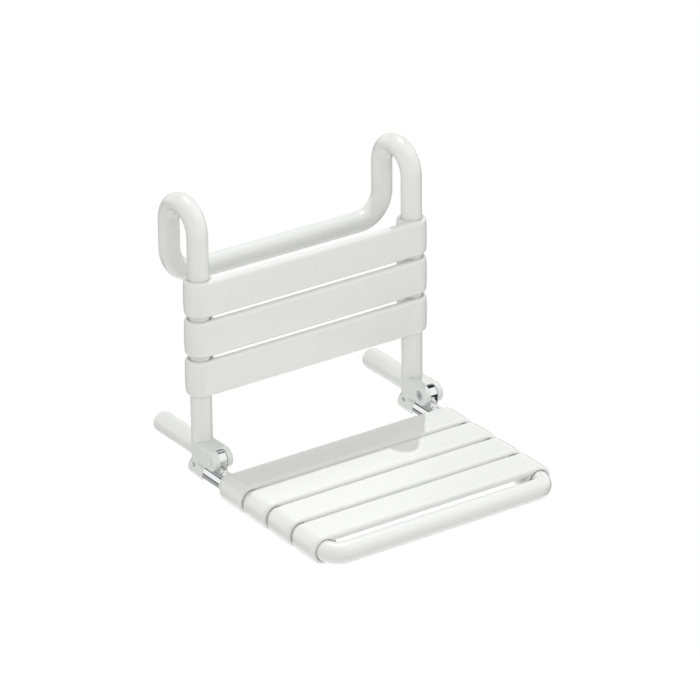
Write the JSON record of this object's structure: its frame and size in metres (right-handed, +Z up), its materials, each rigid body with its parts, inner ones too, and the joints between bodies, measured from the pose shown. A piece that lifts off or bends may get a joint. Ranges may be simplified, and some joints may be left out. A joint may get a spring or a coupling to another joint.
{
  "type": "fold down wall seat",
  "caption": "Hanging shower seat: bent tube frame that hooks over a grab rail, slatted backrest, slatted seat that folds up, stand-offs to the wall.",
  "frame": {"origin": "on the axis of the hook bends, half way between the two hooks, where the rail lies", "axes": "+X along the rail, to the right as seen from the room, +Y towards the wall, +Z up"},
  "size_m": [0.4404, 0.4916, 0.4665],
  "materials": {
    "white_nylon": "satin gloss white nylon",
    "white_casting": "satin white coated casting",
    "chrome": "polished chrome",
    "steel": "plain stainless steel",
    "bush_plastic": "dark bearing plastic"
  },
  "bodies": {
    "root": {"back_frame_tube": "white_nylon", "backrest_slat_bottom": "white_nylon", "backrest_slat_middle": "white_nylon", "backrest_slat_screws": "steel", "backrest_slat_top": "white_nylon", "hinge_fitting_left": "white_casting", "hinge_fitting_right": "white_casting", "pivot_bolt_left": "steel", "pivot_bolt_right": "steel", "pivot_cap_left": "white_nylon", "pivot_cap_right": "white_nylon", "pivot_nut_left": "steel", "pivot_nut_right": "steel", "post_pin_left": "steel", "post_pin_right": "steel", "post_spigot_left": "steel", "post_spigot_right": "steel", "standoff_screw_left": "steel", "standoff_screw_right": "steel", "standoff_tube_left": "white_nylon", "standoff_tube_right": "white_nylon", "wall_pad_left": "white_nylon", "wall_pad_right": "white_nylon"},
    "seat": {"hinge_knuckle_left": "chrome", "hinge_knuckle_right": "chrome", "knuckle_pin_left": "steel", "knuckle_pin_right": "steel", "pivot_bush_left_inner": "bush_plastic", "pivot_bush_left_outer": "bush_plastic", "pivot_bush_right_inner": "bush_plastic", "pivot_bush_right_outer": "bush_plastic", "seat_frame_tube": "white_nylon", "seat_slat_front": "white_nylon", "seat_slat_mid_front": "white_nylon", "seat_slat_mid_rear": "white_nylon", "seat_slat_rear": "white_nylon", "seat_slat_screws": "steel"}
  },
  "joints": [
    {"name": "seat_fold", "type": "hinge", "parent": "root", "child": "seat", "pos_m": [0, -0.0855, -0.3529], "axis": [-1, 0, 0], "range_deg": [0, 90]}
  ]
}
